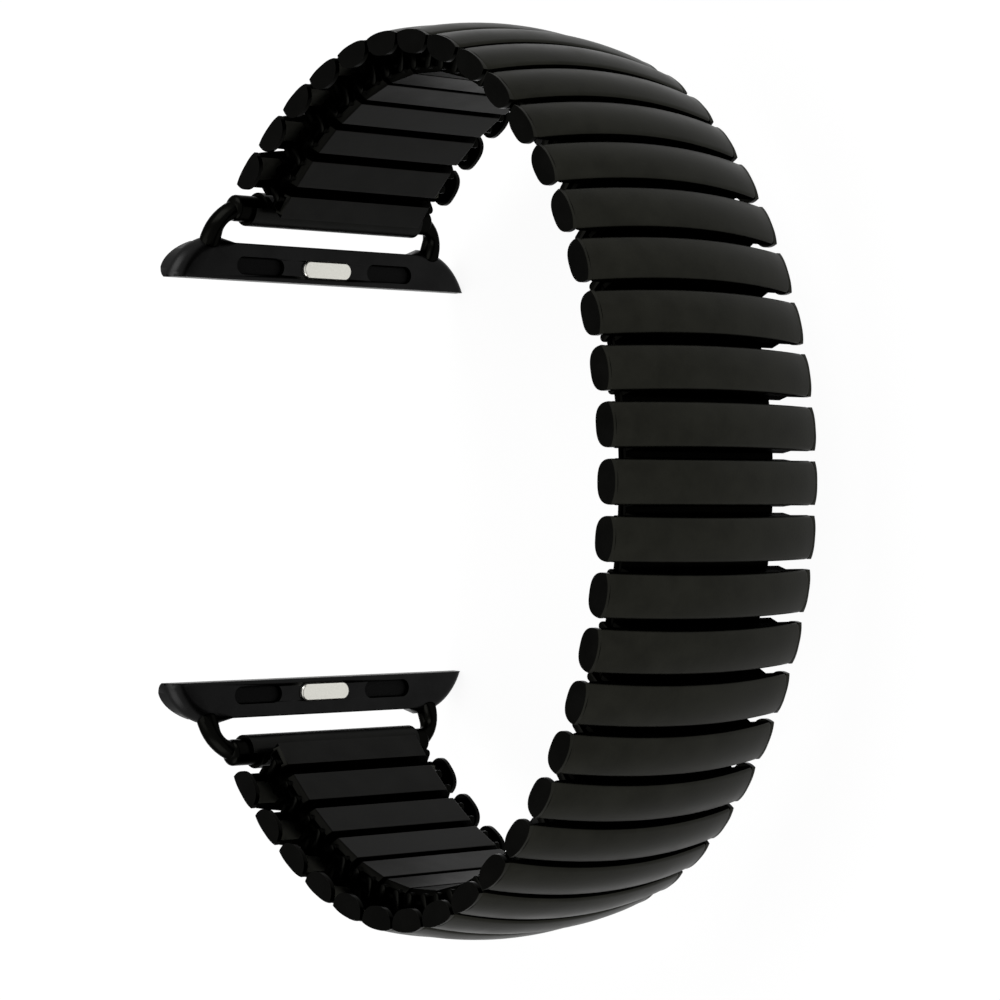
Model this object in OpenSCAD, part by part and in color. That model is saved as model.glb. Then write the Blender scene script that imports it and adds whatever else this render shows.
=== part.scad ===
// Expansion watch bracelet, bent round the wrist, with a slide-in connector at each end.
// It lies on its edge: X points from the open side to the middle link, Z runs across the band.

/* [Band] */
// Width of the band over the outer links
band_w = 19.2; // [17:0.1:22]
// Number of outer links, odd so that one stands in the middle
link_count = 35; // [31:2:37]
// Distance between neighbouring outer links where the band is stretched
pitch_open = 3.61; // [3.4:0.01:4.2]
// How much closer the links stand where the band bends most
pitch_closing = 0.5; // [0:0.01:0.55]

/* [Bend] */
// Turn from one link to the next in the flat stretches, in degrees
turn_least = 5.43; // [3:0.01:6.5]
// Extra turn at the tightest place, in degrees
turn_extra = 7.08; // [2:0.01:8]
// How many links from the middle one the tightest place is
bend_at = 11.64; // [10:0.01:13]
// How many links the tight stretch spreads over
bend_spread = 3.63; // [2.5:0.01:4.5]

/* [Outer shell] */
// Length of a shell along the band
shell_len = 2.95; // [2.8:0.01:2.98]
// Thickness of the shell's sheet
shell_sheet = 0.28; // [0.2:0.01:0.3]
// Rise of the shell from its ends to the middle of the band
shell_arch = 1.2; // [0.6:0.05:1.6]
// Rise of the shell from its long edges to its ridge
shell_crown = 0.3; // [0.15:0.01:0.5]
// Depth of the shell's long walls
wall_depth = 0.8; // [0.8:0.01:0.9]
// Depth of the long walls beside the end tabs, where they leave room for the staples
rim_depth = 0.25; // [0.1:0.01:0.7]
// How far each long wall leans in at its lower edge
wall_lean = 0.1; // [0.06:0.01:0.12]
// Depth of the folded end tabs
tab_depth = 1.27; // [1.22:0.01:1.5]
// Radius of the end tabs' free corners
tab_corner = 0.95; // [0.7:0.01:1.2]

/* [Sleeves] */
// Width of the sleeves across the band
sleeve_w = 13.8; // [12:0.1:14]
// Sheet thickness of the sleeves
sleeve_sheet = 0.2; // [0.15:0.01:0.22]
// Length of an inner sleeve along the band
inner_len = 2.44; // [2.3:0.01:2.46]
// Length of the end link's sleeve, which holds the legs of one pair of staples
end_len = 1.62; // [1.55:0.01:1.9]
// Diameter of the dimples that hold a shell on its sleeve
dimple_d = 0.26; // [0.2:0.02:0.28]
// Gap between the outer and the inner row of sleeves
row_gap = 0.08; // [0.06:0.01:0.15]
// Top of the outer sleeve below the shell's corner line
sleeve_drop = 0.14; // [0.1:0.01:0.2]
// Chamfer at the ends of the inner sleeves
end_bevel = 0.35; // [0.2:0.01:0.45]

/* [Staples and springs] */
// Diameter of a staple's legs
leg_d = 0.56; // [0.5:0.01:0.6]
// Depth of a leg inside its sleeve
leg_reach = 2.7; // [2:0.1:4]
// Thickness of a staple's web
web_t = 0.4; // [0.3:0.01:0.6]
// Width of a staple's web
web_w = 0.48; // [0.4:0.01:0.52]
// Thickness of a leaf spring
leaf_t = 0.12; // [0.08:0.01:0.16]
// How far a leaf spring stops short of each end of its sleeve
leaf_end = 1.3; // [1:0.1:3]
// Running clearance of pins and sliding pieces
fit_gap = 0.03; // [0.02:0.01:0.05]

/* [Connector] */
// Length of a connector, to suit the watch case
connector_len = 27.8; // [26:0.1:30]
// Height of the connector's body along the band
body_h = 2.65; // [2.55:0.05:3.2]
// Thickness of the connector's body
body_t = 2.1; // [2:0.05:2.5]
// Radius of the body's sloping shoulders
shoulder_r = 4.65; // [4:0.05:5.5]
// Diameter of the bar that the end link turns on
bar_d = 1.9; // [1.6:0.05:2]
// Distance from the bar's axis to the body
slot_h = 2.4; // [2.3:0.05:2.8]
// Distance of the bar's axis in front of the body's flat face
bar_offset = 0.5; // [0.3:0.05:0.8]
// Width across the connector's arms
arms_w = 22.4; // [21.8:0.1:23]
// Length of the slot between the arms
slot_w = 19.4; // [18:0.1:19.6]
// Depth of the arms
arm_t = 1.5; // [1.2:0.05:1.6]
// Radius of the arms' outer corners
arm_round = 3.8; // [3:0.1:4.5]
// Tilt of the arms to the body's flat face, in degrees
arm_tilt = 22; // [10:1:26]
// Lean of the connectors from upright, in degrees
connector_lean = 0; // [-8:1:8]
// How far past the middle of the end link the bar stands
bar_reach = 1.53; // [1.45:0.01:1.8]

/* [Catch] */
// Length of the catch's window
window_len = 4.56; // [4:0.02:5]
// Height of the windows
window_h = 1.3; // [1.1:0.02:1.34]
// Distance between the middles of the side windows and of the catch
window_step = 6.12; // [5.6:0.02:6.5]
// Length of a side window
pad_len = 4.35; // [4:0.05:4.6]
// Depth of the side pads below the face
pad_recess = 0.3; // [0.1:0.05:0.5]
// Travel of the catch into the body
catch_travel = 0.3; // [0.1:0.05:0.4]
// How far the catch stands proud of the face
catch_proud = 0.25; // [0.1:0.05:0.3]

/* [Hidden] */
$fn = 48;

// The middle of the band, counted in links from either end
half = (link_count - 1) / 2;
function bend(k) = exp(-pow((k - bend_at) / bend_spread, 2));
function turn(k) = turn_least + turn_extra * bend(k);
function pitch(k) = pitch_open - pitch_closing * bend(k);
function along(angle) = [cos(angle), sin(angle)];

// Place and heading of each link of one half, from the middle link to one past the last
chain = [for (k = 0, h = 90, p = [0, 0];
              k <= half + 1;
              p = p + pitch(k + 1) * along(h + turn(k + 1) / 2),
              h = h + turn(k + 1),
              k = k + 1) [p, h]];

// The end link's sleeve, the bar that the connector turns on, and the connector's outer side
end_place = (chain[half][0] + chain[half + 1][0]) / 2;
end_heading = (chain[half][1] + chain[half + 1][1]) / 2;
bar_depth = 0.1;
bar_place = end_place + bar_reach * along(end_heading) - bar_depth * along(end_heading - 90);
connector_heading = 270 + connector_lean;
connector_back = bar_place[0] - bar_offset - body_t;

// The row's origin: middle of the bracelet's box, on the plane that the connector tips touch
ring_x = -(connector_back + shell_arch + shell_crown) / 2;
mid_z = connector_len / 2;

// Levels below the shell's corner line
cavity_h = leg_d + 2 * fit_gap;
sleeve_h = cavity_h + 2 * sleeve_sheet;
leg_depth = sleeve_drop + sleeve_h / 2;
inner_depth = leg_depth + sleeve_h + row_gap;
outer_len = shell_len - 2 * (shell_sheet + wall_lean + fit_gap);
leg_off = outer_len / 2 - sleeve_sheet - leg_d / 2 - fit_gap;
inner_leg_off = inner_len / 2 - sleeve_sheet - leg_d / 2 - fit_gap;
arch_r = (pow(band_w / 2, 2) + pow(shell_arch, 2)) / (2 * shell_arch);
crown_r = (pow(shell_len / 2, 2) + pow(shell_crown, 2)) / (2 * shell_crown);
end_off = (end_len - inner_len) / 2;
web_gap = 0.06;
eye_d = leg_d + 0.08;
dimple_z = 4.5;
relief_at = sleeve_w / 2 + web_gap + web_t;
leaf_span = sleeve_w - 2 * leaf_end;
// More than any link is deep
clear = 4;

// Connector and catch
wrap_sheet = 0.25;
wrap_w = 15.8;
wrap_r = bar_d / 2 + fit_gap;
slot_corner = 0.5;
arm_root = 0.4;
bar_taper = 0.5;
bar_over = 1;
shoulder_sink = 1.55;
shoulder_over = 0.35;
nose_r = 1.3;
nose_lead = 0.1;
window_at = slot_h + body_h / 2 + 0.28;
face_wall = 0.4;
flange = 0.2;
flange_t = 0.35;
spring_room = catch_travel + 0.25;
spring_sheet = 0.12;
spring_w = 0.8;
spring_span = window_len - 0.4;
pad_t = 0.3;

function two_digits(n) = str(n < 10 ? "0" : "", n);
LINKS = [for (n = [1:link_count]) str("link_", two_digits(n))];
ENDS = ["end_link", "end_staples", "end_spring", "connector", "side_pads", "catch", "catch_spring",
        "catch_plug"];

// Frames: local X points outwards, local Y along the band towards the nearer free end
module at_place(place, heading) {
    translate([ring_x + place[0], place[1], mid_z]) rotate([0, 0, heading - 90]) children();
}

module at_link(k) {
    at_place(chain[k][0], chain[k][1]) children();
}

// Midway between a link and its neighbour on the side of the middle link
module between_links(k) {
    at_place((chain[k - 1][0] + chain[k][0]) / 2, (chain[k - 1][1] + chain[k][1]) / 2) children();
}

module at_bar() {
    at_place(bar_place, connector_heading) children();
}

module both_ends() {
    children();
    mirror([0, 0, 1]) children();
}

module block(x, y, z) {
    cube([x, y, z], center = true);
}

// Outer shell: a crowned, arched cap whose long walls lean in below the corner line
module shell_form(inset) {
    edge = shell_len / 2 - inset;
    lean = wall_lean * clear / wall_depth;
    intersection() {
        translate([shell_arch - arch_r, 0, 0]) rotate([90, 0, 0]) rotate_extrude() intersection() {
            translate([arch_r + shell_crown - crown_r, 0]) circle(crown_r - inset);
            translate([arch_r - clear, -edge]) square([2 * clear, 2 * edge]);
        }
        linear_extrude(band_w - 2 * inset, center = true) polygon([
            [-clear, lean - edge], [clear, -lean - edge], [clear, edge + lean], [-clear, edge - lean]]);
    }
}

module end_tab() {
    translate([0, 0, band_w / 2 - shell_sheet]) linear_extrude(shell_sheet) {
        translate([tab_corner - tab_depth, -shell_len / 2]) square([tab_depth - tab_corner, shell_len]);
        translate([-tab_depth, tab_corner - shell_len / 2])
            square([tab_depth, shell_len - 2 * tab_corner]);
        for (side = [-1, 1])
            translate([tab_corner - tab_depth, side * (shell_len / 2 - tab_corner)]) circle(tab_corner);
    }
}

// Short round bars that stand from the shell's long walls into the sleeve
module dimples() {
    from = (outer_len - sleeve_sheet) / 2;
    to = (shell_len - shell_sheet) / 2 - wall_lean;
    both_ends() for (side = [-1, 1])
        translate([-leg_depth, side * (from + to) / 2, dimple_z]) rotate([90, 0, 0])
            cylinder(h = to - from, d = dimple_d, center = true);
}

module shell() {
    color("#2b2b26") {
        difference() {
            intersection() {
                shell_form(0);
                translate([clear - wall_depth, 0, 0]) block(2 * clear, 2 * clear, 2 * band_w);
            }
            shell_form(shell_sheet);
            both_ends() translate([-clear - rim_depth, -clear, relief_at])
                cube([clear, 2 * clear, band_w / 2 - shell_sheet - relief_at]);
        }
        both_ends() end_tab();
        dimples();
    }
}

// Sleeve of a link, with holes for the shell's dimples
module link_sleeve() {
    color("#20201d") translate([-leg_depth, 0, 0]) difference() {
        sleeve(outer_len, 0);
        both_ends() translate([0, 0, dimple_z]) rotate([90, 0, 0])
            cylinder(h = shell_len, d = dimple_d + 2 * fit_gap, center = true);
    }
}

// Folded sleeve, open at both ends, whose cavity holds the staples' legs
module sleeve(long, bevel) {
    difference() {
        rotate([90, 0, 0]) translate([0, 0, -long / 2]) linear_extrude(long) polygon([
            [sleeve_h / 2, -sleeve_w / 2],
            [sleeve_h / 2, sleeve_w / 2],
            [bevel - sleeve_h / 2, sleeve_w / 2],
            [-sleeve_h / 2, sleeve_w / 2 - bevel],
            [-sleeve_h / 2, bevel - sleeve_w / 2],
            [bevel - sleeve_h / 2, -sleeve_w / 2]]);
        block(cavity_h, long - 2 * sleeve_sheet, 2 * sleeve_w);
    }
}

// Bowed leaf spring that lies between the legs
module leaf_spring() {
    bow = cavity_h - leaf_t - 2 * fit_gap;
    r = (leaf_span * leaf_span / 4 + bow * bow) / (2 * bow);
    wide = 2 * leg_off - leg_d - 2 * fit_gap;
    color("#4a4a48") rotate([90, 0, 0]) translate([0, 0, -wide / 2]) linear_extrude(wide)
        intersection() {
            translate([cavity_h / 2 - fit_gap - r, 0]) difference() {
                circle(r, $fn = 96);
                circle(r - leaf_t, $fn = 96);
            }
            square([cavity_h, leaf_span], center = true);
        }
}

// Place of a leg: beside the middle of a link or of the space between two, at its depth
function leg_place(place, heading, side, off, depth) =
    place + side * off * along(heading) - depth * along(heading - 90);

// A pair of staples, one at each side of the band: two legs and the web that joins their ends
module staple(upper, lower) {
    span = lower - upper;
    for (p = [upper, lower])
        translate([ring_x + p[0], p[1], mid_z]) both_ends()
            translate([0, 0, sleeve_w / 2 - leg_reach])
            cylinder(h = leg_reach + web_gap + web_t / 2, d = leg_d);
    translate([ring_x + upper[0], upper[1], mid_z]) rotate([0, 0, atan2(span[1], span[0])])
        both_ends() translate([0, 0, sleeve_w / 2 + web_gap]) linear_extrude(web_t) {
            circle(d = eye_d);
            translate([norm(span), 0]) circle(d = eye_d);
            translate([0, -web_w / 2]) square([norm(span), web_w]);
        }
}

// The staples that tie an inner sleeve to the link on its near or far side
module staple_pair(k, far) {
    link = chain[far ? k : k - 1];
    mid = [(chain[k - 1][0] + chain[k][0]) / 2, (chain[k - 1][1] + chain[k][1]) / 2];
    side = far ? 1 : -1;
    color("#1c1c1a") staple(
        leg_place(link[0], link[1], -side, leg_off, leg_depth),
        leg_place(mid[0], mid[1], side, inner_leg_off, inner_depth));
}

// A link with what turns with it: its shell and sleeve, the inner sleeve on the side of the
// middle link, and the staples whose legs turn in that neighbour's sleeve
module half_link(k) {
    at_link(k) {
        shell();
        link_sleeve();
        translate([-leg_depth, 0, 0]) leaf_spring();
    }
    if (k > 0) {
        between_links(k) translate([-inner_depth, 0, 0]) {
            color("#34342f") sleeve(inner_len, end_bevel);
            leaf_spring();
        }
        staple_pair(k, false);
        staple_pair(k, true);
    }
}

module link(n) {
    if (n <= half + 1) half_link(half + 1 - n);
    else mirror([0, 1, 0]) half_link(n - half - 1);
}

// End link: an inner sleeve whose sheet runs on, in a straight line that meets the round of the
// wrap without a corner, and wraps round the connector's bar
module end_link() {
    round_r = wrap_r + wrap_sheet;
    edge = leg_place(end_place, end_heading, 1, end_len - inner_len / 2, inner_depth + sleeve_h / 2);
    reach = norm(bar_place - edge);
    run = sqrt(reach * reach - round_r * round_r);
    way = atan2(bar_place[1] - edge[1], bar_place[0] - edge[0]) - asin(round_r / reach);
    color("#33332f") difference() {
        union() {
            between_links(half + 1) translate([-inner_depth, end_off, 0]) sleeve(end_len, end_bevel);
            at_bar() difference() {
                cylinder(h = wrap_w, r = round_r, center = true);
                both_ends() translate([-2 * bar_d, -2 * bar_d, sleeve_w / 2])
                    cube([4 * bar_d, 2 * bar_d, bar_d]);
            }
            translate([ring_x + edge[0], edge[1], mid_z - sleeve_w / 2 + end_bevel]) rotate([0, 0, way])
                cube([run, wrap_sheet, sleeve_w - 2 * end_bevel]);
        }
        at_bar() cylinder(h = 2 * wrap_w, r = wrap_r, center = true);
    }
}

module end_staples() {
    staple_pair(half + 1, false);
}

module end_spring() {
    leg_edge = leg_d / 2 + fit_gap - inner_leg_off;
    between_links(half + 1)
        translate([-inner_depth, (leg_edge + end_off + end_len / 2 - sleeve_sheet) / 2, 0]) leaf_spring();
}

// Outline with round ends, across the band
module pill(long, high) {
    for (side = [-1, 1]) translate([0, side * (long - high) / 2]) circle(high / 2);
    square([high, long - high], center = true);
}

// A prism of a pill, from one depth to another behind the body's flat face
module pill_prism(long, high, from, to, at = 0) {
    translate([bar_offset + from, window_at, at]) rotate([0, 90, 0])
        linear_extrude(to - from) rotate(90) pill(long, high);
}

// Connector body: flat inner face, rounded back, sloping shoulders and round noses
module connector_body() {
    back_r = (body_h * body_h / 4 + body_t * body_t) / (2 * body_t);
    tip = connector_len / 2;
    shoulder = tip - shoulder_r + shoulder_over;
    intersection() {
        translate([bar_offset + body_t - back_r, slot_h + body_h / 2, 0])
            cylinder(h = connector_len, r = back_r, center = true);
        translate([bar_offset, slot_h, 0]) rotate([0, 90, 0]) linear_extrude(body_t) {
            translate([-shoulder, 0]) square([2 * shoulder, body_h]);
            for (side = [-1, 1]) intersection() {
                translate([side * shoulder, body_h + shoulder_sink]) circle(shoulder_r, $fn = 96);
                translate([(side - 1) * tip / 2, 0]) square([tip, body_h]);
            }
        }
        translate([bar_offset + nose_r, 0, 0]) rotate([-90, 0, 0]) linear_extrude(slot_h + body_h) {
            translate([-nose_r, nose_r - tip]) square([body_t, 2 * (tip - nose_r)]);
            for (side = [-1, 1]) translate([-nose_lead, side * (tip - nose_r)]) circle(nose_r);
        }
    }
}

// Outer and inner outlines of the arms' loop, drawn with the bar's axis along X
module loop_outline() {
    far = -bar_d / 2;
    root = slot_h / cos(arm_tilt) + arm_root;
    corner_at = arms_w / 2 - arm_round;
    bar_end = wrap_w / 2 + bar_over;
    difference() {
        intersection() {
            translate([-arms_w / 2, far]) square([arms_w, root - far]);
            union() {
                translate([-corner_at, far]) square([2 * corner_at, root - far]);
                translate([-arms_w / 2, far + arm_round]) square([arms_w, arm_round]);
                for (side = [-1, 1])
                    translate([side * corner_at, far + arm_round]) circle(arm_round, $fn = 96);
            }
        }
        translate([-slot_w / 2, slot_corner - far]) square([slot_w, root]);
        translate([slot_corner - slot_w / 2, -far]) square([slot_w - 2 * slot_corner, root]);
        translate([-bar_end, 2 * far]) square([2 * bar_end, -4 * far]);
        for (side = [-1, 1])
            translate([side * (slot_w / 2 - slot_corner), slot_corner - far]) circle(slot_corner);
    }
}

// Arms and bar: a loop whose far side is the round bar, with tapered ends inside the arms
module connector_loop() {
    bar_end = wrap_w / 2 + bar_over;
    cylinder(h = 2 * bar_end, d = bar_d, center = true);
    both_ends() translate([0, 0, bar_end])
        cylinder(h = bar_taper, r1 = bar_d / 2, r2 = bar_d / 2 - bar_taper);
    rotate([0, 0, -arm_tilt]) translate([-arm_t / 2, 0, 0]) rotate([0, 90, 0])
        linear_extrude(arm_t) loop_outline();
}

module connector() {
    color("#262624") at_bar() difference() {
        union() {
            connector_body();
            connector_loop();
        }
        pill_prism(window_len, window_h, -clear, face_wall + flange_t);
        pill_prism(window_len + 2 * flange, window_h + 2 * flange, face_wall, clear);
        for (side = [-1, 1])
            pill_prism(pad_len, window_h, -clear, pad_recess + pad_t, side * window_step);
    }
}

// Dark pads at the bottom of the side windows
module side_pads() {
    color("#141414") at_bar() for (side = [-1, 1])
        pill_prism(pad_len - 2 * fit_gap, window_h - 2 * fit_gap, pad_recess, pad_recess + pad_t,
            side * window_step);
}

// Sprung catch: a bright button with a flange that the face holds in
module catch() {
    color("#cdcdc6") at_bar() {
        pill_prism(window_len - 2 * fit_gap, window_h - 2 * fit_gap, -catch_proud, face_wall + flange_t / 2);
        pill_prism(window_len + 2 * (flange - fit_gap), window_h + 2 * (flange - fit_gap),
            face_wall + fit_gap, face_wall + flange_t);
    }
}

// Plug that closes the catch's pocket from behind, shaped to the body's back
module catch_plug() {
    color("#262624") at_bar() intersection() {
        pill_prism(window_len + 2 * (flange - fit_gap), window_h + 2 * (flange - fit_gap),
            face_wall + flange_t + spring_room, clear);
        connector_body();
    }
}

// Bowed leaf behind the catch, with its ends on the plug
module catch_spring() {
    bow = spring_room - spring_sheet - 2 * fit_gap;
    r = (spring_span * spring_span / 4 + bow * bow) / (2 * bow);
    color("#6a6a66") at_bar()
        translate([bar_offset + face_wall + flange_t + fit_gap, window_at, 0])
        rotate([90, 0, 0]) translate([0, 0, -spring_w / 2]) linear_extrude(spring_w) intersection() {
            translate([r, 0]) difference() {
                circle(r, $fn = 96);
                circle(r - spring_sheet, $fn = 96);
            }
            translate([0, -spring_span / 2]) square([bow + spring_sheet, spring_span]);
        }
}

module end_part(name) {
    if (name == "end_link") end_link();
    if (name == "end_staples") end_staples();
    if (name == "end_spring") end_spring();
    if (name == "connector") connector();
    if (name == "side_pads") side_pads();
    if (name == "catch") catch();
    if (name == "catch_spring") catch_spring();
    if (name == "catch_plug") catch_plug();
}

for (n = [1:link_count])
    link(n);
for (name = ENDS) {
    end_part(name);
    mirror([0, 1, 0]) end_part(name);
}
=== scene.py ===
"""Expansion watch bracelet in black plated steel, bent round the wrist, lying on its edge."""

import math
from collections import namedtuple

import bmesh
import bpy
from bpy.props import FloatProperty, FloatVectorProperty, PointerProperty
from bpy.types import Operator, Panel, PropertyGroup
from mathutils import Matrix, Vector

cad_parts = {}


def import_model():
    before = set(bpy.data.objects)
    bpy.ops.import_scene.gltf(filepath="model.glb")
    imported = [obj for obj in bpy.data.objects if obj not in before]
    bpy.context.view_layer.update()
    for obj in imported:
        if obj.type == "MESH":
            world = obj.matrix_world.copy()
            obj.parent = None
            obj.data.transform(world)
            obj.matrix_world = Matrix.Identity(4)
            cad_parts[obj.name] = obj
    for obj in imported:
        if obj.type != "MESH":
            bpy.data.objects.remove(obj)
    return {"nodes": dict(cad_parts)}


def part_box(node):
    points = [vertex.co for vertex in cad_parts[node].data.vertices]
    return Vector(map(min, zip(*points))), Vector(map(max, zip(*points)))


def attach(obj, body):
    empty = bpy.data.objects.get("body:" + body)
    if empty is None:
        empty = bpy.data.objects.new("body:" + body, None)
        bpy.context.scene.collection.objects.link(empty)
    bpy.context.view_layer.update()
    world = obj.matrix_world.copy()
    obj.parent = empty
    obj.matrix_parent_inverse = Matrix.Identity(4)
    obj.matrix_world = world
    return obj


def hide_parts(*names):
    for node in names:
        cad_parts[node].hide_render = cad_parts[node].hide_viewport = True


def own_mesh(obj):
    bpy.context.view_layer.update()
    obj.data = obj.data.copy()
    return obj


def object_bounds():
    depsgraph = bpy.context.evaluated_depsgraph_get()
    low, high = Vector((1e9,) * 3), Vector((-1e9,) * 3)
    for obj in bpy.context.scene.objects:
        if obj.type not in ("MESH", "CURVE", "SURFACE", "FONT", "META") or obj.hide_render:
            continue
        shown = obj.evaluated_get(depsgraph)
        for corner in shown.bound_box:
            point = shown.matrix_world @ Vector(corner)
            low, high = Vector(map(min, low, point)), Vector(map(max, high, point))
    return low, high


bl_info = {
    "name": "Expansion Watch Bracelet",
    "version": (1, 0, 0),
    "blender": (4, 5, 0),
    "location": "View3D > Sidebar > Bracelet",
    "description": "Dresses the bracelet's frame with folded shells, sleeves, staples and connectors",
    "category": "Object",
}

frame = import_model()
cad_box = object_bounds()

# A millimetre in metres. Lengths are in millimetres, apart from those of the lamps and the floor.
MM = 0.001
LINKS = 35
HALF = (LINKS - 1) // 2
# the two ends of the band, and whether each lies in the lower, mirrored half
SIDES = (("upper", False), ("lower", True))


# Properties


def length(name, size, text):
    """A length whose default is given in millimetres."""
    return FloatProperty(
        name=name, description=text, default=size * MM, subtype="DISTANCE", unit="LENGTH", precision=5)


def linear(code):
    """An sRGB hex value as linear red, green and blue."""
    parts = [int(code[i:i + 2], 16) / 255 for i in (1, 3, 5)]
    return [c / 12.92 if c <= 0.04045 else ((c + 0.055) / 1.055) ** 2.4 for c in parts]


def paint(name, code, text):
    """A colour whose default is given as an sRGB hex value."""
    return FloatVectorProperty(
        name=name, description=text, default=linear(code), subtype="COLOR", size=3, min=0, max=1)


class ShellSizes(PropertyGroup):
    band_width: length("Band width", 19.2, "Width of the band over the outer shells")
    shell_length: length("Shell length", 2.95, "Length of a shell along the band")
    sheet: length("Sheet", 0.28, "Thickness of the shell's sheet")
    arch: length("Arch", 1.2, "Rise of the shell from its ends to the middle of the band")
    crown: length("Crown", 0.3, "Rise of the shell from its long edges to its ridge")
    wall: length("Wall", 0.8, "Depth of the long walls over the middle of the band")
    rim: length("Wall rim", 0.1, "Depth of the long walls beside the end tabs")
    lean: length("Wall lean", 0.1, "How far a long wall leans in over its depth")
    edge: length("Edge round", 0.18, "Size of the rounding along the shell's long edges")
    roll: length("End roll", 0.26, "Size of the rolled edge between the crown and the end tab")
    bow: length("End bow", 0.1, "How far the shell's ends curve in between their corners")
    tab: length("End tab", 1.27, "Depth of the folded end tabs")


class SleeveSizes(PropertyGroup):
    width: length("Sleeve width", 13.8, "Width of the sleeves across the band")
    inner_length: length("Inner sleeve length", 2.44, "Length of an inner sleeve along the band")
    chamfer: length("End chamfer", 0.35, "Chamfer at the ends of the inner sleeves, on the wrist side")


class ConnectorSizes(PropertyGroup):
    long: length("Length", 27.8, "Length of the body across the band")
    arms: length("Width over arms", 22.4, "Width over the two arms")
    arm: length("Arm", 1.5, "Thickness of the connector's arms")
    corner: length("Arm corner", 3.8, "Radius of the arms' outer corners")
    bar: length("Bar", 1.9, "Diameter of the bar that the end link turns on")
    edge: length("Edge round", 0.12, "Size of the rounding on the body's straight edges")
    nose: length("Nose round", 0.95, "How far the body's edge rolls back along the shoulders")


class Finishes(PropertyGroup):
    shell: paint("Shell plating", "#20201c", "Black plating of the shells")
    # near black: painted shade on the shells' ends, the hidden walls and works, the staples, and the
    # connectors' arms and bar, darker than the shells' own plating
    tab: paint("End tab plating", "#080807", "Black plating of the rolled ends, tabs, staples and arms")
    # the pale grey of the shells' inner faces is painted light inside the crown
    inside: paint("Inside of the shells", "#4c4c46", "Thinner plating on the shells' inner faces")
    sleeve: paint("Sleeve plating", "#161615", "Black plating of the sleeves on the wrist side")
    connector: paint("Connector plating", "#1b1b1b", "Black plating of the connectors")
    steel: paint("Bright steel", "#dddcd4", "Bare steel of the catches")
    spring: paint("Spring strip", "#7c7c79", "Bare strip of the leaf springs")
    rubber: paint("Pads", "#060606", "Moulded rubber of the side pads")


# Shape of the row

# turn from link to link, and the pitch, follow one bell curve over the links from the middle one
TURN_LEAST, TURN_EXTRA, BEND_AT, BEND_SPREAD = 5.43, 7.08, 11.64, 3.63
PITCH_OPEN, PITCH_CLOSING = 3.61, 0.5
# the row's middle height, half way up the frame
MID_Z = cad_box[1][2] / MM / 2
# mirror images along the band and across it
LOWER, ACROSS = Matrix.Scale(-1, 4, (0, 1, 0)), Matrix.Scale(-1, 4, (0, 0, 1))
HERE = Matrix.Identity(4)

# a sleeve's sheet, its sliding fit and the staple legs in it
SHEET, FIT, LEG = 0.2, 0.03, 0.56
CAVITY = LEG + 2 * FIT
SLEEVE_H = CAVITY + 2 * SHEET
# gap from the level of the shells' ends to the sleeves inside them, and from those to the inner row
SLEEVE_DROP, ROW_GAP = 0.14, 0.08
# depth of the staples' legs in either row, below the level of the shells' ends
LEG_DEPTH = SLEEVE_DROP + SLEEVE_H / 2
INNER_DEPTH = LEG_DEPTH + SLEEVE_H + ROW_GAP
# the bar's place from the end link's, along the band and below the level of the shells' ends
BAR_REACH, BAR_DEPTH = 1.53, 0.1


def along(angle):
    """Unit vector at an angle in degrees."""
    return Vector((math.cos(math.radians(angle)), math.sin(math.radians(angle))))


def bend(step):
    """Share of the extra turn at a link."""
    return math.exp(-((step - BEND_AT) / BEND_SPREAD) ** 2)


def walk():
    """Place and heading of the links of one half, from the middle link to one past the last."""
    heading, place = 90.0, Vector((0.0, 0.0))
    chain = [(place, heading)]
    for step in range(1, HALF + 2):
        turn = TURN_LEAST + TURN_EXTRA * bend(step)
        place = place + (PITCH_OPEN - PITCH_CLOSING * bend(step)) * along(heading + turn / 2)
        heading += turn
        chain.append((place, heading))
    return chain


CHAIN = walk()


def halfway(step):
    """Place and heading half way between a link and the one before it."""
    (before, turned), (place, heading) = CHAIN[step - 1], CHAIN[step]
    return (before + place) / 2, (turned + heading) / 2


END_PLACE, END_HEADING = halfway(HALF + 1)
BAR_PLACE = END_PLACE + BAR_REACH * along(END_HEADING) - BAR_DEPTH * along(END_HEADING - 90)


def ring_x():
    """Shift that brings the row's origin to its place in the frame."""
    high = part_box("link_%02d" % (HALF + 1))[1]
    sizes = bpy.context.scene.bracelet_shell
    return high.x / MM - (sizes.arch + sizes.crown) / MM


def row_frame(lower):
    """Frame in which the row of one half is laid out."""
    row = Matrix.Translation((ring_x(), 0, MID_Z))
    return LOWER @ row if lower else row


def at_place(place, heading, lower):
    """Local X points outwards, local Y along the band towards the nearer free end."""
    turn = Matrix.Rotation(math.radians(heading - 90), 4, "Z")
    there = Matrix.Translation((ring_x() + place.x, place.y, MID_Z)) @ turn
    return LOWER @ there if lower else there


Link = namedtuple("Link", "number node body step lower place inner")


def links():
    """Every link, its steps from the middle one, and its inner sleeve's place, which that one lacks."""
    for number in range(1, LINKS + 1):
        step, lower = abs(number - HALF - 1), number > HALF + 1
        node = "link_%02d" % number
        body = node if step else "middle_link"
        inner = at_place(*halfway(step), lower) if step else None
        yield Link(number, node, body, step, lower, at_place(*CHAIN[step], lower), inner)


# Mesh help

# angles in degrees past which an edge stays sharp on folded and on machined pieces
FOLDED, MACHINED = 35, 30


def moved(bm, matrix):
    """Moves a mesh, and keeps its faces pointing outwards where the move mirrors it."""
    bmesh.ops.transform(bm, matrix=matrix, verts=bm.verts)
    if matrix.determinant() < 0:
        bmesh.ops.reverse_faces(bm, faces=bm.faces)
    return bm


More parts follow.
